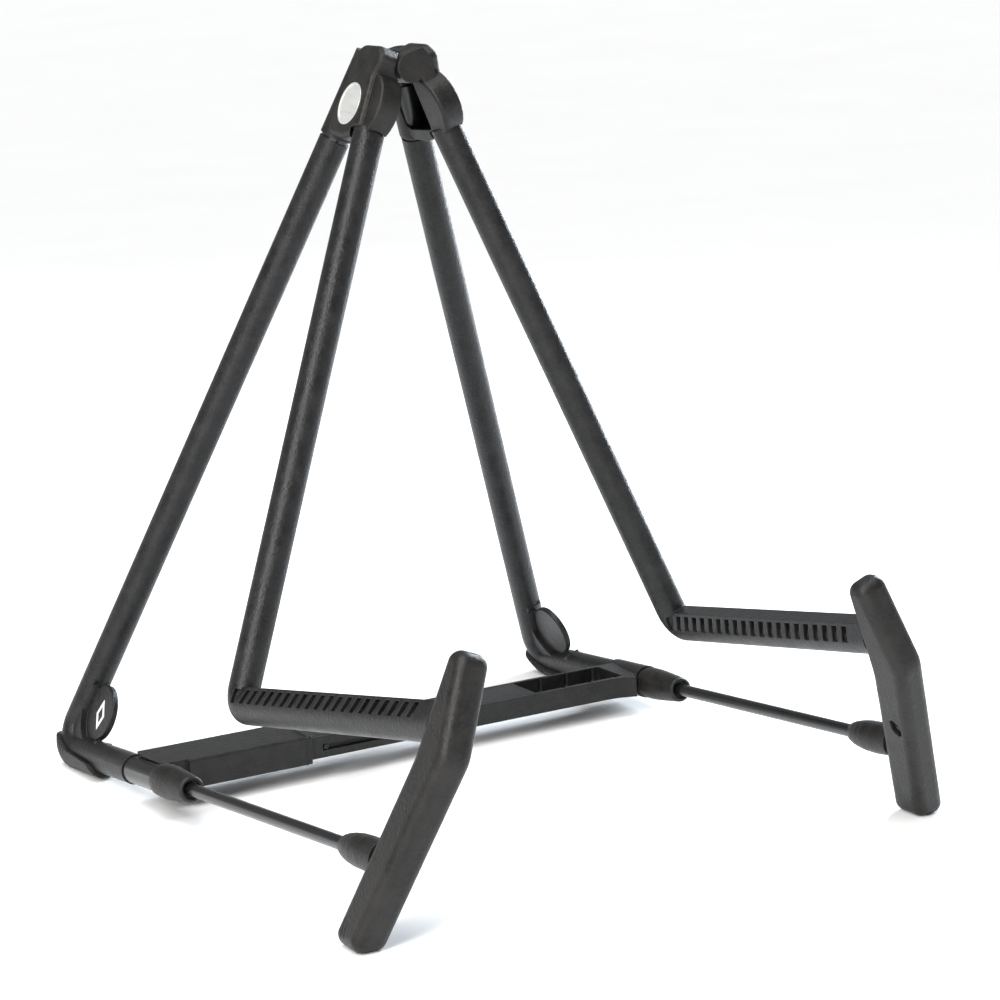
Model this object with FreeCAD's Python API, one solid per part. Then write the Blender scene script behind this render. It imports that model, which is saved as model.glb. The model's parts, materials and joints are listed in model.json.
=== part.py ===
import FreeCAD, Part

import math
import os

# Folding instrument stand: two mirrored wings of bent tube joined by a hinge
# at the top and held apart by a telescoping cross brace near the floor.
#
# Millimetres, +X to the right wing, -Y to the front, +Z up. The origin is on
# the floor, midway between the wings and midway between the front and rear.
#
# Each wing is drawn flat with three numbers:
#   u    distance down the wing from the line where the two wing planes meet
#   v    distance forward of the point where the two legs of a wing meet
#   off  distance outward from the wing's own plane

V = FreeCAD.Vector

# ---- stance ----
LEAN = 21.5              # each wing's angle from vertical, degrees
PEAK_Z = 351.9           # height of the line where the wing planes meet
MID_V = 48.25            # v of the origin

# ---- wing lines ----
LEG_TOP_U = -14.4        # both leg axes meet here, at v = 0
REAR_U, REAR_V = 371.1, -125.5
FRONT_U, FRONT_V = 315.3, 42.3
RUN_SLOPE = -0.0905      # lower run: change of u for each v
ARM_SLOPE = -0.1779      # arm: change of u for each v
REAR_BEND = 10.5
FRONT_BEND = 9.0

# ---- tubes ----
TUBE_TOP_U = 31.0
FRONT_TUBE_TOP_U = 34.0
SLEEVE_R = 7.1
REAR_TUBE_R = 6.5
REAR_TUBE_BORE = 5.1
FRONT_TUBE_R = 4.5
FRONT_TUBE_BORE = 3.2
ROD_R = 2.95
REAR_SLEEVE_TOP_U = 58.0
FRONT_SLEEVE_TOP_U = 53.0
BARE_START_V = -43.0
COLLAR_START_V = -12.0
COLLAR_END_V = 19.5

# ---- arm cushion ----
CUSHION_END_V = 208.5
RAIL_HALF_W = 3.9
RAIL_H = 9.0
RAIL_PLATE = 1.3
SLOT_COUNT = 21
SLOT_FIRST_V = 47.8
SLOT_PITCH_V = 7.34
SLOT_W = 4.1
SLOT_FLOOR = 1.2

# ---- hinge ----
HINGE_DROP = 22.6        # hinge axis below the line where the planes meet
HINGE_R = 6.8
HINGE_GAP_R = 7.3
PIN_R = 2.5
PIN_FIT = 0.05
PIN_BACK_V, PIN_FRONT_V = -16.0, 12.0
RIGHT_KNUCKLES = ((6.0, 15.5), (-17.5, -7.3))
LEFT_KNUCKLES = ((-6.9, 5.6),)

# ---- head ----
PLATE_OUT = 7.6
PLATE_IN = 4.6
PLATE_ROUND = 2.6
HEAD_IN = -5.6
BULGE_U, BULGE_V, BULGE_R, BULGE_HALF = 42.5, 6.5, 15.5, 5.6
BADGE_U, BADGE_V, BADGE_R = 43.0, -3.0, 9.8

# ---- front foot ----
FOOT_HALF_T = 7.3
FOOT_ROUND = 4.8
FOOT_RIBS = 4
FOOT_RIB_V = 186.4
FOOT_RIB_PITCH = 2.3
SCREW_U, SCREW_V = 326.5, 209.5
SCREW_R = 1.6
SCREW_HEAD_R = 2.4
SCREW_SEAT = -4.7        # off of the screw head's underside

# ---- heel pad ----
HEEL_THICK = 2.5
HEEL_RIB_V = -130.2
HEEL_RIB_PITCH = 2.7
HEEL_RIBS = 9

# ---- corner disc ----
DISC_U, DISC_V, DISC_R = 348.0, -96.0, 13.5

# ---- cross brace ----
BRACE_Z0, BRACE_Z1 = 10.6, 21.0
BRACE_V0, BRACE_V1 = -40.2, -13.3
BRACE_WALL = 2.1
BRACE_FLOOR = 1.9
CHANNEL_X0 = -64.0
POCKET_X0, POCKET_X1 = 68.0, 119.0
TONGUE_GAP = 0.35
TONGUE_WALL = 2.0
SLOT_X0, SLOT_X1 = -50.5, -2.0
SLOT_Z0, SLOT_Z1 = 14.0, 17.2
GUIDE_X, GUIDE_R = -48.6, 1.3
BOX_X1 = -57.0
BOX_SKIN = 1.4
BOX_X0 = -132.2
BOX_CAVITY_X0 = -112.0
KNUCKLE_R = 8.1
RUNNING_FIT = 0.05
SADDLE_GAP = 0.35
SADDLE_LIFT = (0.40, -0.915)   # x and z the left tube leaves by
BOX_ROUND = 1.3
NOTCH_X = (84.0, 99.5, 115.0)
FLARE_X1 = 123.6

HINGE_Z = PEAK_Z - HINGE_DROP
SIN = math.sin(math.radians(LEAN))
COS = math.cos(math.radians(LEAN))


# ---- placing ----

def at(u, v, off=0.0):
    """A point of the flat right wing."""
    return V(off, -v, -u)


def stand_up(shape, side):
    """Lean a flat wing shape into place; side is +1 right or -1 left."""
    placed = shape.copy()
    placed.rotate(V(0, 0, 0), V(0, 1, 0), -LEAN)
    placed.translate(V(0, MID_V, PEAK_Z))
    if side < 0:
        placed = placed.mirror(V(0, 0, 0), V(1, 0, 0))
    return placed


def lie_flat(shape):
    """The inverse of stand_up for the right wing."""
    placed = shape.copy()
    placed.translate(V(0, -MID_V, -PEAK_Z))
    placed.rotate(V(0, 0, 0), V(0, 1, 0), LEAN)
    return placed


def leg_v(corner_u, corner_v, u):
    return corner_v * (u - LEG_TOP_U) / (corner_u - LEG_TOP_U)


def rear_leg(u):
    return (u, leg_v(REAR_U, REAR_V, u))


def front_leg(u):
    return (u, leg_v(FRONT_U, FRONT_V, u))


def run(v):
    return (REAR_U + RUN_SLOPE * (v - REAR_V), v)


def arm(v):
    return (FRONT_U + ARM_SLOPE * (v - FRONT_V), v)


# ---- outlines and sweeps ----

def rounded_edges(points, radii, closed):
    """Lines joined by tangent arcs through 3-D points lying in one plane."""
    count = len(points)
    starts = []
    ends = []
    arcs = []
    for i, point in enumerate(points):
        radius = radii[i]
        if radius <= 0 or (not closed and i in (0, count - 1)):
            starts.append(point)
            ends.append(point)
            arcs.append(None)
            continue
        back = (points[i - 1] - point).normalize()
        ahead = (points[(i + 1) % count] - point).normalize()
        half = math.acos(max(-1.0, min(1.0, back.dot(ahead)))) / 2
        reach = radius / math.tan(half)
        centre = point + (back + ahead).normalize() * (radius / math.sin(half))
        first = point + back * reach
        last = point + ahead * reach
        middle = centre + (point - centre).normalize() * radius
        starts.append(first)
        ends.append(last)
        arcs.append(Part.Arc(first, middle, last).toShape())
    edges = []
    for i in range(count if closed else count - 1):
        after = (i + 1) % count
        edges.append(Part.makeLine(ends[i], starts[after]))
        if arcs[after] is not None:
            edges.append(arcs[after])
    return edges


def flat_prism(outline, off0, off1):
    """Extrude (u, v, radius) corners from off0 to off1."""
    points = [at(u, v, off0) for u, v, _ in outline]
    radii = [r for _, _, r in outline]
    wire = Part.Wire(Part.__sortEdges__(rounded_edges(points, radii, True)))
    return Part.Face(wire).extrude(V(off1 - off0, 0, 0))


def swept_tube(path, bend, radius):
    """A solid round bar along (u, v) points with one bend radius."""
    points = [at(u, v) for u, v in path]
    radii = [0] + [bend] * (len(points) - 2) + [0]
    spine = Part.Wire(rounded_edges(points, radii, False))
    start = (points[1] - points[0]).normalize()
    ring = Part.Wire([Part.makeCircle(radius, points[0], start)])
    return spine.makePipeShell([ring], True, False)


def round_bar(a, b, radius):
    length = (b - a).Length
    return Part.makeCylinder(radius, length, a, b - a)


def turned(profile, start, along):
    """Revolve (distance, radius) pairs about the line from start."""
    along = V(along).normalize()
    helper = V(1, 0, 0)
    if abs(helper.dot(along)) > 0.9:
        helper = V(0, 0, 1)
    out = along.cross(helper).normalize()
    points = [start + along * d + out * r for d, r in profile]
    points.append(points[0])
    face = Part.Face(Part.makePolygon(points))
    return face.revolve(start, along, 360)


def fuse(shapes):
    whole = shapes[0]
    if len(shapes) > 1:
        whole = whole.multiFuse(shapes[1:])
    return whole.removeSplitter()


def block(x0, x1, y0, y1, z0, z1):
    return Part.makeBox(x1 - x0, y1 - y0, z1 - z0, V(x0, y0, z0))


# ---- wing parts, drawn flat ----

def rear_path(start_u, end_v):
    return [rear_leg(start_u), (REAR_U, REAR_V), run(end_v)]


def front_path(start_u, end_v):
    return [front_leg(start_u), (FRONT_U, FRONT_V), arm(end_v)]


def rear_tube():
    outer = swept_tube(rear_path(TUBE_TOP_U, 4), REAR_BEND, REAR_TUBE_R)
    inner = swept_tube(rear_path(TUBE_TOP_U - 1, 5), REAR_BEND, REAR_TUBE_BORE)
    return outer.cut(inner)


def front_tube():
    outer = swept_tube(front_path(FRONT_TUBE_TOP_U, 213), FRONT_BEND, FRONT_TUBE_R)
    inner = swept_tube(front_path(FRONT_TUBE_TOP_U - 1, 214), FRONT_BEND, FRONT_TUBE_BORE)
    return outer.cut(inner)


def corner_web():
    """Curved web that fills the rear corner behind the disc."""
    corner = [(REAR_U - 44, REAR_V + 12.5, 0), (REAR_U, REAR_V, 8), (REAR_U - 3.6, REAR_V + 46, 0)]
    web = flat_prism(corner, -4.2, 4.2)
    dish = Part.makeCylinder(DISC_R + 2.6, 20, at(DISC_U, DISC_V, -10), V(1, 0, 0))
    return web.cut(dish)


def corner_disc():
    """Disc pad in the wing plane, with a thin membrane back to the web."""
    disc = Part.makeCylinder(DISC_R, 3.2, at(DISC_U, DISC_V, -1.6), V(1, 0, 0))
    rims = [e for e in disc.Edges if e.Length > DISC_R and len(e.Vertexes) == 1]
    disc = disc.makeFillet(0.8, rims)
    sheet = [(REAR_U - 40, REAR_V + 12.6, 0), (REAR_U, REAR_V, 8), (REAR_U - 3.6, REAR_V + 42, 0)]
    return disc.fuse(flat_prism(sheet, -0.8, 0.8))


def rear_sleeve():
    outer = swept_tube(rear_path(REAR_SLEEVE_TOP_U, BARE_START_V), REAR_BEND, SLEEVE_R)
    bore = swept_tube(rear_path(REAR_SLEEVE_TOP_U - 2, BARE_START_V + 2), REAR_BEND, REAR_TUBE_R)
    body = fuse([outer, corner_web(), corner_disc()])
    return body.cut(bore)


def floor_cut(shape):
    """Cut a flat wing shape off at floor level."""
    ground = lie_flat(block(-400, 400, -600, 600, -80, 0))
    return shape.cut(ground)


def heel_pad():
    """Ribbed sole that wraps the underside of the rear bend."""
    path = rear_path(REAR_SLEEVE_TOP_U, BARE_START_V)
    shoe = swept_tube(path, REAR_BEND, SLEEVE_R + HEEL_THICK)
    region = [
        (362.0, -140.0, 0), (366.5, -124.0, 0), (371.0, -108.0, 0), (371.6, -81.0, 3),
        (377.0, -77.0, 0), (400.0, -77.0, 0), (400.0, -140.0, 0),
    ]
    shoe = shoe.common(flat_prism(region, -20, 20))
    shoe = shoe.cut(swept_tube(path, REAR_BEND, SLEEVE_R))
    shoe = floor_cut(shoe)
    grooves = []
    for i in range(HEEL_RIBS):
        v = HEEL_RIB_V + HEEL_RIB_PITCH * i
        for off in (-SLEEVE_R - HEEL_THICK, SLEEVE_R + HEEL_THICK):
            grooves.append(Part.makeCylinder(0.75, 30, at(362, v, off * 0.96), V(0, 0, -1)))
    shoe = shoe.cut(Part.makeCompound(grooves))
    return max(shoe.Solids, key=lambda part: part.Volume)


def cushion_profile(start):
    """Round underside, sloping sides and a narrow flat top."""
    reach = math.hypot(RAIL_HALF_W, RAIL_H)
    angle = math.atan2(RAIL_HALF_W, RAIL_H) + math.acos(SLEEVE_R / reach)
    tx = SLEEVE_R * math.sin(angle)
    tz = SLEEVE_R * math.cos(angle)
    a = V(-RAIL_HALF_W, start, RAIL_H)
    b = V(RAIL_HALF_W, start, RAIL_H)
    c = V(tx, start, tz)
    d = V(-tx, start, tz)
    under = Part.Arc(c, V(0, start, -SLEEVE_R), d).toShape()
    return Part.Wire([Part.makeLine(a, b), Part.makeLine(b, c), under, Part.makeLine(d, a)])


def along_arm(shape, origin_v):
    """Turn a shape drawn along -Y with Z up onto the arm's line."""
    placed = shape.copy()
    tilt = math.degrees(math.atan(-ARM_SLOPE))
    placed.rotate(V(0, 0, 0), V(1, 0, 0), -tilt)
    u, v = arm(origin_v)
    placed.translate(at(u, v))
    return placed


def front_sleeve():
    """Leg sleeve, bend and slotted arm cushion in one moulding."""
    end_v = CUSHION_END_V
    outer = swept_tube(front_path(FRONT_SLEEVE_TOP_U, end_v), FRONT_BEND, SLEEVE_R)
    stretch = 1.0 / math.cos(math.atan(ARM_SLOPE))
    length = (end_v - FRONT_V) * stretch
    rail = Part.Face(cushion_profile(0)).extrude(V(0, -length, 0))
    body = fuse([outer, along_arm(rail, FRONT_V)])
    cuts = []
    for i in range(SLOT_COUNT):
        y = -(SLOT_FIRST_V + SLOT_PITCH_V * i - FRONT_V) * stretch
        cuts.append(block(-10, 10, y - SLOT_W / 2, y + SLOT_W / 2, SLOT_FLOOR, RAIL_H - RAIL_PLATE))
    slots = along_arm(Part.makeCompound(cuts), FRONT_V)
    core = swept_tube(front_path(200, end_v + 3), FRONT_BEND, FRONT_TUBE_R + 0.6)
    body = body.cut(slots.cut(core))
    bore = swept_tube(front_path(FRONT_SLEEVE_TOP_U - 2, end_v + 2), FRONT_BEND, FRONT_TUBE_R)
    return body.cut(bore)


def collar():
    """Tapered ring that ends the bare tube and grips the rod."""
    u0, v0 = run(COLLAR_START_V)
    u1, v1 = run(COLLAR_END_V)
    start = at(u0, v0)
    along = at(u1, v1) - start
    length = along.Length
    seat = 16.0
    profile = [
        (0, REAR_TUBE_R), (0, 7.1), (1.2, 7.5), (5, 7.8), (9, 7.8), (13, 7.6), (length - 4, 6.4),
        (length - 1.0, 6.1), (length, 5.4), (length, 4.5), (length - 2.2, 4.2), (length - 2.2, ROD_R),
        (seat + 0.2, ROD_R), (seat + 0.2, REAR_TUBE_R),
    ]
    return turned(profile, start, along)


def rod():
    u0, v0 = run(2.0)
    u1, v1 = run(201.0)
    return round_bar(at(u0, v0), at(u1, v1), ROD_R)


def foot_outline():
    return [
        (255.6, 208.6, 5.4), (255.6, 219.6, 5.4), (296.0, 226.8, 14), (374.0, 204.2, 0), (392.0, 199.0, 0),
        (392.0, 179.6, 0), (372.0, 185.2, 0), (300.0, 204.9, 30),
    ]


def foot():
    """Front foot and finger: one bar with a kinked front and a round boss."""
    bar = floor_cut(flat_prism(foot_outline(), -FOOT_HALF_T, FOOT_HALF_T))
    bar = bar.makeFillet(FOOT_ROUND, bar.Edges)
    u0, v0 = run(163.5)
    u1, v1 = run(204.0)
    start = at(u0, v0)
    along = at(u1, v1) - start
    profile = [
        (0, 0), (0, 3.9), (1.2, 4.6), (4, 5.5), (8, 6.3), (13, 6.9), (20, 7.1), (30, 6.6), (30, 0),
    ]
    boss = turned(profile, start, along)
    body = fuse([bar, boss])
    rod_hole = round_bar(at(*run(160)), at(*run(201.0)), ROD_R)
    arm_hole = round_bar(at(*arm(190)), at(*arm(213)), FRONT_TUBE_R)
    cushion_end = front_sleeve_end()
    body = body.cut(rod_hole).cut(arm_hole).cut(cushion_end)
    body = body.cut(screw_well()).cut(hole_along_off(SCREW_U, SCREW_V, SCREW_R, -8, 1))
    ribs = []
    for i in range(FOOT_RIBS):
        v = FOOT_RIB_V + FOOT_RIB_PITCH * i
        ribs.append(Part.makeCylinder(0.6, 12, at(368, v, FOOT_HALF_T + 0.25), V(0, 0, -1)))
    return body.cut(Part.makeCompound(ribs))


def front_sleeve_end():
    """The room that the cushion's end takes inside the foot."""
    stretch = 1.0 / math.cos(math.atan(ARM_SLOPE))
    rail = Part.Face(cushion_profile(0)).extrude(V(0, -(CUSHION_END_V - 190.0) * stretch, 0))
    return along_arm(rail, 190.0)


def hole_along_off(u, v, radius, off0, off1):
    """A cylinder square to the wing plane from off0 to off1."""
    return Part.makeCylinder(radius, off1 - off0, at(u, v, off0), V(1, 0, 0))


def screw_well():
    """Oval recess on the inner face of the foot, down to the screw head."""
    u, v = SCREW_U, SCREW_V
    outline = [
        (u - 4.9, v - 2.9, 2.2), (u - 1.9, v + 3.1, 2.2), (u + 5.7, v + 2.7, 2.2), (u + 2.5, v - 3.1, 2.2),
    ]
    return flat_prism(outline, -8, SCREW_SEAT)


def foot_screw():
    """Screw whose head sits at the bottom of the foot's oval well."""
    shank = hole_along_off(SCREW_U, SCREW_V, SCREW_R, SCREW_SEAT - 0.1, 1)
    cap = hole_along_off(SCREW_U, SCREW_V, SCREW_HEAD_R, SCREW_SEAT - 1.0, SCREW_SEAT)
    drive_u = -SCREW_U
    drive = block(-8, SCREW_SEAT - 0.5, -SCREW_V - 4, -SCREW_V + 4, drive_u - 0.4, drive_u + 0.4)
    return fuse([shank, cap]).cut(drive)


# ---- hinge heads ----

def head_body():
    """Plate, rear socket and front bulge of one head, without its knuckles."""
    plate = [
        (14.6, -9.8, 7), (15.6, 9.0, 6), (20.5, 15.0, 3), (29.5, 10.6, 8), (40.0, 11.0, 8),
        (56.0, 12.0, 6), (59.0, -3.5, 12), (56.8, -20.5, 6), (30.0, -14.6, 0),
    ]
    slab = flat_prism(plate, HEAD_IN, PLATE_OUT)
    outer_edges = [e for e in slab.Edges if e.BoundBox.XMin > PLATE_OUT - 0.01]
    body = [slab.makeFillet(PLATE_ROUND, outer_edges)]
    body.append(round_bar(at(*rear_leg(17.5)), at(*rear_leg(56.5)), 7.55))
    disc = Part.makeCylinder(BULGE_R, 2 * BULGE_HALF, at(BULGE_U, BULGE_V, -BULGE_HALF), V(1, 0, 0))
    rims = [e for e in disc.Edges if e.Length > BULGE_R and len(e.Vertexes) == 1]
    disc = disc.makeFillet(1.6, rims)
    trim = flat_prism([(20, -6, 0), (20, 30, 0), (55.5, 30, 0), (55.5, -6, 0)], -9, 9)
    body.append(disc.common(trim))
    whole = fuse(body)
    cavity = [(28, -12.6, 2), (27, 1.5, 2), (29, 5.0, 2), (53, 5.6, 2), (53, -17.5, 3)]
    return whole.cut(flat_prism(cavity, HEAD_IN - 3, PLATE_IN))


def hinge_bar(v0, v1, radius):
    """A bar about the hinge axis, drawn in the flat wing."""
    u_axis = HINGE_DROP * COS
    off_axis = -HINGE_DROP * SIN
    return Part.makeCylinder(radius, v1 - v0, at(u_axis, v0, off_axis), V(0, -1, 0))


def knuckle(v0, v1):
    """One hinge barrel with the web that carries it."""
    axis = at(HINGE_DROP * COS, v0, -HINGE_DROP * SIN)
    ring = [
        axis + V(-0.5, 0, HINGE_R - 0.05), V(HEAD_IN + 6, -v0, -15.0), V(HEAD_IN + 9, -v0, -22.0),
        V(HEAD_IN + 6, -v0, -32.0), V(HEAD_IN + 0.5, -v0, -31.5), axis + V(3.4, 0, -5.6), axis,
    ]
    web = Part.Face(Part.makePolygon(ring + [ring[0]])).extrude(V(0, -(v1 - v0), 0))
    return [hinge_bar(v0, v1, HINGE_R), web]


def head(own, other, pin_radius):
    body = head_body().cut(hinge_bar(-40, 40, HINGE_GAP_R))
    parts = []
    for v0, v1 in own:
        parts.extend(knuckle(v0, v1))
    body = fuse([body] + parts)
    for v0, v1 in other:
        body = body.cut(hinge_bar(v0 - 0.3, v1 + 0.3, HINGE_GAP_R))
    body = body.cut(hinge_bar(PIN_BACK_V - 9, PIN_FRONT_V, pin_radius))
    body = body.cut(round_bar(at(*rear_leg(TUBE_TOP_U)), at(*rear_leg(60)), REAR_TUBE_R))
    body = body.cut(round_bar(at(*front_leg(FRONT_TUBE_TOP_U)), at(*front_leg(60)), FRONT_TUBE_R))
    leg_room = [
        round_bar(at(*rear_leg(REAR_SLEEVE_TOP_U)), at(*rear_leg(72)), 9),
        round_bar(at(*front_leg(FRONT_SLEEVE_TOP_U)), at(*front_leg(70)), 8.5),
    ]
    for room in leg_room:
        body = body.cut(room)
    return max(body.Solids, key=lambda s: s.Volume)


def hinge_pin():
    shank = hinge_bar(PIN_BACK_V - 1.5, PIN_FRONT_V, PIN_R)
    cap = hinge_bar(PIN_BACK_V - 3.2, PIN_BACK_V - 1.5, 4.2)
    return fuse([shank, cap])


def badge_room():
    return Part.makeCylinder(BADGE_R, 4, at(BADGE_U, BADGE_V, PLATE_OUT - 1.0), V(1, 0, 0))


def badge():
    """Plain round badge with a thin raised rim."""
    disc = Part.makeCylinder(BADGE_R, 1.35, at(BADGE_U, BADGE_V, PLATE_OUT - 1.0), V(1, 0, 0))
    sunk = Part.makeCylinder(BADGE_R - 0.9, 1.0, at(BADGE_U, BADGE_V, PLATE_OUT), V(1, 0, 0))
    return disc.cut(sunk)


def disc_mark():
    """Small plain lozenge on the outer face of the corner disc."""
    big = [(-7.5, 0, 0), (0, 4.6, 0), (7.5, 0, 0), (0, -4.6, 0)]
    ring = [(DISC_U + 1.0 + a, DISC_V + 1.5 + b, r) for a, b, r in big]
    hole = [(DISC_U + 1.0 + a * 0.6, DISC_V + 1.5 + b * 0.6, r) for a, b, r in big]
    return flat_prism(ring, 1.6, 1.85).cut(flat_prism(hole, 1.5, 2.0))


# ---- cross brace, drawn in place ----

def brace_block(x0, x1, v0, v1, z0, z1):
    return block(x0, x1, MID_V - v1, MID_V - v0, z0, z1)


def run_bar(v0, v1, radius, side):
    return stand_up(round_bar(at(*run(v0)), at(*run(v1)), radius), side)


def channel_flare():
    """Solid block with a hollowed front face, next to the pivot."""
    y = MID_V - BRACE_V1
    z = BRACE_Z0
    near = V(104, y, z)
    far = V(FLARE_X1, y - 4.2, z)
    edges = [
        Part.makeLine(near, V(104, y + 3, z)),
        Part.makeLine(V(104, y + 3, z), V(FLARE_X1, y + 3, z)),
        Part.makeLine(V(FLARE_X1, y + 3, z), far),
        Part.Arc(far, V(116.5, y - 1.2, z), near).toShape(),
    ]
    return Part.Face(Part.Wire(edges)).extrude(V(0, 0, BRACE_Z1 - BRACE_Z0))


def pocket_notches():
    """Three upright notches in each wall of the channel's open pocket."""
    notches = []
    for x in NOTCH_X:
        for v in (BRACE_V0 + BRACE_WALL, BRACE_V1 - BRACE_WALL):
            notches.append(Part.makeCylinder(0.9, 12, V(x, MID_V - v, BRACE_Z0 + 3.5), V(0, 0, 1)))
    return Part.makeCompound(notches)


def brace_channel():
    """Open-topped channel that pivots on the right lower tube."""
    v0, v1, wall = BRACE_V0, BRACE_V1, BRACE_WALL
    body = brace_block(CHANNEL_X0, 131.0, v0, v1, BRACE_Z0, BRACE_Z1)
    barrel = run_bar(v0 - 2.2, v1 + 0.8, KNUCKLE_R, 1)
    body = fuse([body, barrel, channel_flare()])
    floor = BRACE_Z0 + BRACE_FLOOR
    trough = brace_block(CHANNEL_X0 - 5, POCKET_X1, v0 + wall, v1 - wall, floor, BRACE_Z1 + 9)
    slot = brace_block(SLOT_X0, SLOT_X1, v1 - wall - 1, v1 + 1, SLOT_Z0, SLOT_Z1)
    body = body.cut(trough).cut(slot).cut(pocket_notches())
    return body.cut(run_bar(v0 - 20, v1 + 20, REAR_TUBE_R + RUNNING_FIT, 1))


def tongue_limits():
    """v and z limits of the tongue inside the channel."""
    inset = BRACE_WALL + TONGUE_GAP
    return BRACE_V0 + inset, BRACE_V1 - inset, BRACE_Z0 + BRACE_FLOOR + TONGUE_GAP


def brace_tongue():
    """Inverted channel that slides inside the open top."""
    v0, v1, z0 = tongue_limits()
    wall = TONGUE_WALL
    body = brace_block(BOX_CAVITY_X0 - 6, POCKET_X0, v0, v1, z0, BRACE_Z1)
    hollow = brace_block(
        BOX_CAVITY_X0 - 7, POCKET_X0 - wall, v0 + wall, v1 - wall, z0 - 1, BRACE_Z1 - wall - 0.3)
    return body.cut(hollow)


def brace_guide_pin():
    """Pin in the tongue that rides in the channel's slot."""
    v1 = tongue_limits()[1]
    z = (SLOT_Z0 + SLOT_Z1) / 2
    return Part.makeCylinder(GUIDE_R, 2.2, V(GUIDE_X, MID_V - v1, z), V(0, -1, 0))


def saddle_room():
    """Room for the left tube, open the way it leaves as the brace lifts off."""
    radius = REAR_TUBE_R + SADDLE_GAP
    ends = []
    for v in (-60, 10):
        u = run(v)[0]
        ends.append(V(-u * SIN, MID_V - v, PEAK_Z - u * COS))
    axis = (ends[1] - ends[0]).normalize()
    lift = V(SADDLE_LIFT[0], 0, SADDLE_LIFT[1])
    lift = (lift - axis * lift.dot(axis)).normalize()
    side = axis.cross(lift).normalize() * radius
    first = ends[0]
    corners = [first + side, first + side + lift * 22, first - side + lift * 22, first - side]
    slab = Part.Face(Part.makePolygon(corners + [corners[0]])).extrude(ends[1] - first)
    return run_bar(-60, 10, radius, -1).fuse(slab)


def tongue_socket():
    """Room in the box's closed end that grips the tongue."""
    v0, v1, z0 = tongue_limits()
    wall = TONGUE_WALL
    x0 = BOX_CAVITY_X0 - 6
    socket = brace_block(x0, BOX_CAVITY_X0 + 1, v0, v1, z0, BRACE_Z1)
    core = brace_block(x0, BOX_CAVITY_X0, v0 + wall, v1 - wall, z0 - 2, BRACE_Z1 - wall - 0.3)
    return socket.cut(core)


def brace_box():
    """Closed box that rests on the left lower tube and receives the channel."""
    outer = TONGUE_GAP + BOX_SKIN
    v0 = BRACE_V0 - outer
    v1 = BRACE_V1 + outer
    z0 = BRACE_Z0 - outer
    z1 = BRACE_Z1 + outer
    skin = BOX_SKIN
    body = brace_block(BOX_X0, BOX_X1, v0, v1, z0, z1)
    long_edges = [e for e in body.Edges if abs(e.tangentAt(0).x) > 0.9]
    body = body.makeFillet(BOX_ROUND, long_edges)
    cavity = brace_block(BOX_CAVITY_X0, BOX_X1 + 5, v0 + skin, v1 - skin, z0 + skin, z1 - skin)
    body = body.cut(cavity).cut(tongue_socket())
    beside_collar = brace_block(BOX_X0 - 8, -119.0, COLLAR_START_V - 1.6, v1 + 3, z0 - 2, z1 + 2)
    return body.cut(beside_collar).cut(saddle_room())


# ---- output ----

def build():
    nodes = {}
    wing = {
        "rear_tube": rear_tube(),
        "rear_sleeve": rear_sleeve(),
        "front_tube": front_tube(),
        "front_sleeve": front_sleeve(),
        "collar": collar(),
        "rod": rod(),
        "foot": foot(),
        "foot_screw": foot_screw(),
        "heel_pad": heel_pad(),
    }
    for name, shape in wing.items():
        nodes["right_" + name] = stand_up(shape, 1)
        nodes["left_" + name] = stand_up(shape, -1)
    right = head(RIGHT_KNUCKLES, LEFT_KNUCKLES, PIN_R)
    left = head(LEFT_KNUCKLES, RIGHT_KNUCKLES, PIN_R + PIN_FIT)
    nodes["right_head"] = stand_up(right, 1)
    nodes["left_head"] = stand_up(left.cut(badge_room()), -1)
    nodes["head_badge"] = stand_up(badge(), -1)
    nodes["disc_mark"] = stand_up(disc_mark(), -1)
    nodes["hinge_pin"] = stand_up(hinge_pin(), 1)
    nodes["brace_channel"] = brace_channel()
    nodes["brace_tongue"] = brace_tongue()
    nodes["brace_guide_pin"] = brace_guide_pin()
    nodes["brace_box"] = brace_box()
    return nodes


def main():
    os.makedirs("parts", exist_ok=True)
    for name, shape in build().items():
        solids = shape.Solids
        if len(solids) == 1:
            shape = solids[0]
        box = shape.optimalBoundingBox(True, False)
        print(name, len(solids), shape.isValid(), round(shape.Volume), [
            round(n, 1) for n in (box.XMin, box.XMax, box.YMin, box.YMax, box.ZMin, box.ZMax)])
        shape.exportStep("parts/" + name + ".step")


main()
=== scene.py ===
import json
import math

import bmesh
import bpy
from mathutils import Matrix, Vector


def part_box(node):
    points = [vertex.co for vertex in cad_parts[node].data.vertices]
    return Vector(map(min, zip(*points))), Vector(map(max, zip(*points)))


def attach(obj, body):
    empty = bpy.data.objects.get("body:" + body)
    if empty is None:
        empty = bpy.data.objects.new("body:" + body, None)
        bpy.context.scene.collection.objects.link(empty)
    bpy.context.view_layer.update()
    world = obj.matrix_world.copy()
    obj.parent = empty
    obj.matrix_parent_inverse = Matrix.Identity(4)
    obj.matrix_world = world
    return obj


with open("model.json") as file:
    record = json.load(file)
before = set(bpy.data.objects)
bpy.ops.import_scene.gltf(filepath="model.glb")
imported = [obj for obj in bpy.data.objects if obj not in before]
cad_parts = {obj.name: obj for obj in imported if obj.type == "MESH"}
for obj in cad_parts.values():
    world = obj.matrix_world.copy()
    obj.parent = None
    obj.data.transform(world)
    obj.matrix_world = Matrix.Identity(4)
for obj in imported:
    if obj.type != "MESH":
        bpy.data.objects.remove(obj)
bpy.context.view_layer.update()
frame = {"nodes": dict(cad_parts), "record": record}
nodes = frame["nodes"]

# ---- camera ----

CAMERA_AT = Vector((-0.5398, -0.9758, 0.3488))
LOOK = Vector((0.4865, 0.8533, -0.1876))    # viewing direction
ROLL = math.radians(-2.63)
LENS = 90.5              # millimetres
SENSOR = 36.0            # millimetres


# ---- shader helpers ----

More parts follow.
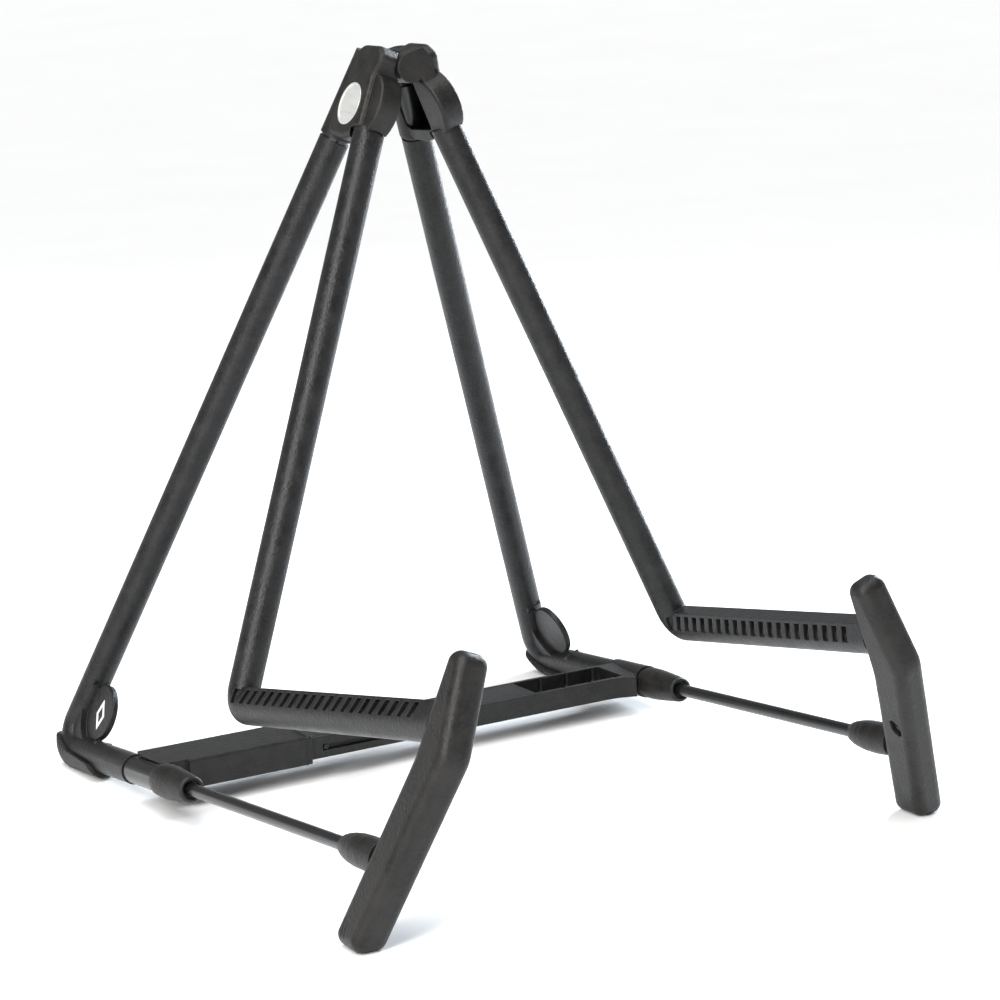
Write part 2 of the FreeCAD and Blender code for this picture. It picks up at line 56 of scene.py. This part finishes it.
EDGE_SAMPLES = 6
EDGE_FLAT = 0.995        # above this cosine the surface counts as an open face
EDGE_SHARP = 0.86        # below this cosine it counts as an edge
COAT_ROUGHNESS = 0.12


def link(tree, a, b):
    tree.links.new(a, b)


def node(tree, kind, **values):
    made = tree.nodes.new(kind)
    for name, value in values.items():
        setattr(made, name, value)
    return made


def noise(tree, coords, scale, detail=4.0, rough=0.55):
    made = node(tree, "ShaderNodeTexNoise")
    made.inputs["Scale"].default_value = scale
    made.inputs["Detail"].default_value = detail
    made.inputs["Roughness"].default_value = rough
    link(tree, coords, made.inputs["Vector"])
    return made.outputs["Fac"]


def ramp(tree, source, low, high, dark, light):
    """Spread a 0-1 source between two colours or grey values."""
    made = node(tree, "ShaderNodeValToRGB")
    first, last = made.color_ramp.elements
    first.position = low
    last.position = high
    first.color = tuple(dark) + (1.0,)
    last.color = tuple(light) + (1.0,)
    link(tree, source, made.inputs["Fac"])
    return made.outputs["Color"]


def bump(tree, height, strength, distance, under):
    made = node(tree, "ShaderNodeBump")
    made.inputs["Strength"].default_value = strength
    made.inputs["Distance"].default_value = distance
    link(tree, height, made.inputs["Height"])
    link(tree, under, made.inputs["Normal"])
    return made.outputs["Normal"]


def edge_mask(tree, radius):
    """1 along sharp edges and 0 on open faces, with the rounded normal."""
    bevel = node(tree, "ShaderNodeBevel", samples=EDGE_SAMPLES)
    bevel.inputs["Radius"].default_value = radius
    flat = node(tree, "ShaderNodeNewGeometry")
    dot = node(tree, "ShaderNodeVectorMath", operation="DOT_PRODUCT")
    link(tree, bevel.outputs["Normal"], dot.inputs[0])
    link(tree, flat.outputs["Normal"], dot.inputs[1])
    turn = node(tree, "ShaderNodeMapRange")
    turn.inputs["From Min"].default_value = EDGE_FLAT
    turn.inputs["From Max"].default_value = EDGE_SHARP
    link(tree, dot.outputs["Value"], turn.inputs["Value"])
    return turn.outputs["Result"], bevel.outputs["Normal"]


def mix(tree, fac, under, over):
    """Lay one plain colour over another colour by the factor fac."""
    made = node(tree, "ShaderNodeMix", data_type="RGBA")
    factor = made.inputs[0]
    first, second = made.inputs[6], made.inputs[7]
    link(tree, fac, factor)
    link(tree, under, first)
    second.default_value = over + (1.0,)
    return made.outputs[2]


def finish_material(name, dark, light, edge, rough, patch_scale, grain_scale, grain_bump,
                    metallic=0.0, coat=0.0, edge_radius=0.0005, stretch=(1, 1, 1), gloss=0.5):
    """One worn, finely textured surface: mottled colour, grain and worn edges."""
    material = bpy.data.materials.new(name)
    material.use_nodes = True
    tree = material.node_tree
    shader = tree.nodes["Principled BSDF"]
    place = node(tree, "ShaderNodeTexCoord")
    mapping = node(tree, "ShaderNodeMapping")
    mapping.inputs["Scale"].default_value = stretch
    link(tree, place.outputs["Object"], mapping.inputs["Vector"])
    coords = mapping.outputs["Vector"]
    patches = noise(tree, coords, patch_scale, 5.0, 0.6)
    fine = noise(tree, coords, grain_scale, 3.0, 0.7)
    mask, rounded = edge_mask(tree, edge_radius)
    colour = ramp(tree, patches, 0.3, 0.72, dark, light)
    specks = ramp(tree, fine, 0.52, 0.70, (0, 0, 0), (0.8, 0.8, 0.8))
    colour = mix(tree, specks, colour, light)
    worn = node(tree, "ShaderNodeMath", operation="MULTIPLY")
    link(tree, mask, worn.inputs[0])
    link(tree, patches, worn.inputs[1])
    colour = mix(tree, worn.outputs[0], colour, edge)
    link(tree, colour, shader.inputs["Base Color"])
    smooth, matt = rough
    rough_map = ramp(tree, patches, 0.3, 0.7, (smooth,) * 3, (matt,) * 3)
    link(tree, rough_map, shader.inputs["Roughness"])
    strength, distance = grain_bump
    link(tree, bump(tree, fine, strength, distance, rounded), shader.inputs["Normal"])
    shader.inputs["Specular IOR Level"].default_value = gloss
    shader.inputs["Metallic"].default_value = metallic
    shader.inputs["Coat Weight"].default_value = coat
    shader.inputs["Coat Roughness"].default_value = COAT_ROUGHNESS
    return material


# ---- materials, one for each slot of the record ----

MATERIALS = {
    "foam_sleeve": finish_material(
        "foam_rubber",
        dark=(0.004, 0.004, 0.0044),
        light=(0.016, 0.016, 0.0165),
        edge=(0.032, 0.032, 0.032),
        rough=(0.32, 0.46),
        patch_scale=110,
        grain_scale=620,
        grain_bump=(0.7, 0.0005),
        edge_radius=0.0007,
        gloss=0.3,
    ),
    "moulded_plastic": finish_material(
        "moulded_plastic",
        dark=(0.0055, 0.0052, 0.005),
        light=(0.018, 0.017, 0.016),
        edge=(0.045, 0.042, 0.040),
        rough=(0.38, 0.54),
        patch_scale=100,
        grain_scale=620,
        grain_bump=(0.6, 0.0005),
        edge_radius=0.0008,
        gloss=0.28,
    ),
    "brace_plastic": finish_material(
        "brace_plastic",
        dark=(0.0055, 0.0055, 0.0055),
        light=(0.017, 0.017, 0.0165),
        edge=(0.045, 0.045, 0.044),
        rough=(0.34, 0.48),
        patch_scale=100,
        grain_scale=620,
        grain_bump=(0.6, 0.0005),
        edge_radius=0.0005,
        gloss=0.28,
    ),
    "painted_tube": finish_material(
        "black_paint",
        dark=(0.003, 0.003, 0.0033),
        light=(0.006, 0.006, 0.0066),
        edge=(0.03, 0.03, 0.03),
        rough=(0.26, 0.36),
        patch_scale=90,
        grain_scale=900,
        grain_bump=(0.05, 0.0002),
        coat=0.2,
        edge_radius=0.0004,
    ),
    "heel_rubber": finish_material(
        "heel_rubber",
        dark=(0.010, 0.010, 0.010),
        light=(0.018, 0.0175, 0.017),
        edge=(0.045, 0.043, 0.041),
        rough=(0.55, 0.7),
        patch_scale=80,
        grain_scale=2400,
        grain_bump=(0.3, 0.0002),
        edge_radius=0.0004,
    ),
    "steel_fixings": finish_material(
        "dark_steel",
        dark=(0.07, 0.07, 0.072),
        light=(0.12, 0.12, 0.12),
        edge=(0.3, 0.3, 0.3),
        rough=(0.3, 0.42),
        patch_scale=120,
        grain_scale=1800,
        grain_bump=(0.12, 0.0001),
        metallic=1.0,
        edge_radius=0.0003,
        stretch=(1, 6, 1),
    ),
    "badge_metal": finish_material(
        "satin_badge",
        dark=(0.52, 0.53, 0.51),
        light=(0.66, 0.67, 0.65),
        edge=(0.85, 0.85, 0.83),
        rough=(0.26, 0.36),
        patch_scale=60,
        grain_scale=2200,
        grain_bump=(0.10, 0.0001),
        metallic=0.45,
        edge_radius=0.0004,
        stretch=(1, 1, 9),
    ),
    "mark_print": finish_material(
        "white_print",
        dark=(0.62, 0.62, 0.62),
        light=(0.78, 0.78, 0.78),
        edge=(0.5, 0.5, 0.5),
        rough=(0.4, 0.5),
        patch_scale=200,
        grain_scale=2500,
        grain_bump=(0.05, 0.0001),
        edge_radius=0.0002,
    ),
}

SLOT_OF = {item["node"]: item["material_slot"] for item in frame["record"]["subparts"]}


def dress(obj, slot_name):
    obj.data.materials.clear()
    obj.data.materials.append(MATERIALS[slot_name])


for name, obj in nodes.items():
    dress(obj, SLOT_OF[name])


# ---- trim that the moulded box carries ----

RIM_INSET = 0.0022       # from the open end of the box
RIM_R = 0.00035
RIM_CORNER = 0.0016
RIM_STEPS = 6            # segments round each corner
BEAD_SIDES = 3


def rounded_loop(low, high, x, corner):
    """Points round a rectangle with rounded corners in the plane at x."""
    centres = [
        (high[1] - corner, high[2] - corner, 0), (low[1] + corner, high[2] - corner, 90),
        (low[1] + corner, low[2] + corner, 180), (high[1] - corner, low[2] + corner, 270),
    ]
    points = []
    for y, z, start in centres:
        for i in range(RIM_STEPS + 1):
            turn = math.radians(start + 90 * i / RIM_STEPS)
            points.append(Vector((x, y + corner * math.cos(turn), z + corner * math.sin(turn))))
    return points


def bead(name, points, radius, slot_name, body):
    """A thin closed moulded bead, half sunk in the surface it follows."""
    curve = bpy.data.curves.new(name, "CURVE")
    curve.dimensions = "3D"
    curve.bevel_depth = radius
    curve.bevel_resolution = BEAD_SIDES
    line = curve.splines.new("POLY")
    line.points.add(len(points) - 1)
    for target, point in zip(line.points, points):
        target.co = (*point, 1.0)
    line.use_cyclic_u = True
    made = bpy.data.objects.new(name, curve)
    bpy.context.scene.collection.objects.link(made)
    made.data.materials.append(MATERIALS[slot_name])
    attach(made, body)


def box_rim():
    low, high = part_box("brace_box")
    loop = rounded_loop(low, high, high[0] - RIM_INSET, RIM_CORNER)
    bead("box_end_bead", loop, RIM_R, "brace_plastic", "brace_inner")


box_rim()


# ---- stage ----

FLOOR_FLAT = 3.0         # radius of the flat middle
FLOOR_RISE = 0.012       # how fast the bowl rises beyond it
FLOOR_SIDES = 96
FLOOR_STEP = 0.5
FLOOR_RINGS = [FLOOR_FLAT + FLOOR_STEP * i for i in range(23)]

LIGHT_AIM = (0, 0, 0.17)
SOFTBOX_SIZE = (0.35, 1.3)
SUN_SPREAD = 40          # degrees


def floor_material():
    material = bpy.data.materials.new("pale_floor")
    material.use_nodes = True
    tree = material.node_tree
    shader = tree.nodes["Principled BSDF"]
    place = node(tree, "ShaderNodeTexCoord")
    cloud = noise(tree, place.outputs["Object"], 3.0, 3.0)
    pale = ramp(tree, cloud, 0.2, 0.8, (0.92, 0.92, 0.92), (0.95, 0.95, 0.95))
    link(tree, pale, shader.inputs["Base Color"])
    shader.inputs["Roughness"].default_value = 0.7
    return material


def build_floor():
    """Flat under the object, then a shallow rise all round that hides the horizon."""
    mesh = bpy.data.meshes.new("floor")
    shape = bmesh.new()
    rings = []
    for radius in FLOOR_RINGS:
        height = FLOOR_RISE * max(0.0, radius - FLOOR_FLAT) ** 2
        ring = []
        for i in range(FLOOR_SIDES):
            turn = 2 * math.pi * i / FLOOR_SIDES
            ring.append(shape.verts.new((radius * math.cos(turn), radius * math.sin(turn), height)))
        rings.append(ring)
    shape.faces.new(rings[0])
    for inner, outer in zip(rings, rings[1:]):
        for i in range(FLOOR_SIDES):
            after = (i + 1) % FLOOR_SIDES
            shape.faces.new((inner[i], outer[i], outer[after], inner[after]))
    for face in shape.faces:
        face.smooth = True
    shape.to_mesh(mesh)
    shape.free()
    floor = bpy.data.objects.new("floor", mesh)
    bpy.context.scene.collection.objects.link(floor)
    floor.data.materials.append(floor_material())


def place_lamp(name, data, at):
    """Put a lamp at a point, turned to face the middle of the object."""
    lamp = bpy.data.objects.new(name, data)
    lamp.location = at
    lamp.rotation_euler = (Vector(LIGHT_AIM) - Vector(at)).to_track_quat("-Z", "Y").to_euler()
    bpy.context.scene.collection.objects.link(lamp)


def softbox(name, at, power, colour):
    data = bpy.data.lights.new(name, "AREA")
    data.shape = "RECTANGLE"
    data.size, data.size_y = SOFTBOX_SIZE
    data.energy = power
    data.color = colour
    place_lamp(name, data, at)


def sun(name, at, strength):
    data = bpy.data.lights.new(name, "SUN")
    data.angle = math.radians(SUN_SPREAD)
    data.energy = strength
    place_lamp(name, data, at)


def build_lights():
    sun("broad_top", (-0.6, -0.5, 3.0), 2.6)
    softbox("key_softbox", (-1.5, -1.0, 1.1), 44, (1.0, 0.985, 0.96))
    softbox("cool_rim", (1.5, 0.7, 0.8), 52, (0.84, 0.92, 1.0))
    world = bpy.data.worlds.new("studio")
    world.use_nodes = True
    back = world.node_tree.nodes["Background"]
    back.inputs["Color"].default_value = (0.97, 0.985, 1.0, 1.0)
    back.inputs["Strength"].default_value = 0.28
    scene = bpy.context.scene
    scene.world = world
    scene.view_settings.view_transform = "Standard"


def build_camera():
    forward = LOOK.normalized()
    right = forward.cross(Vector((0, 0, 1))).normalized()
    up = right.cross(forward)
    turned_right = right * math.cos(ROLL) + up * math.sin(ROLL)
    turned_up = up * math.cos(ROLL) - right * math.sin(ROLL)
    data = bpy.data.cameras.new("camera")
    data.lens = LENS
    data.sensor_width = SENSOR
    camera = bpy.data.objects.new("camera", data)
    turn = Matrix((turned_right, turned_up, -forward)).transposed()
    camera.matrix_world = Matrix.Translation(CAMERA_AT) @ turn.to_4x4()
    bpy.context.scene.collection.objects.link(camera)
    bpy.context.scene.camera = camera


build_floor()
build_lights()
build_camera()
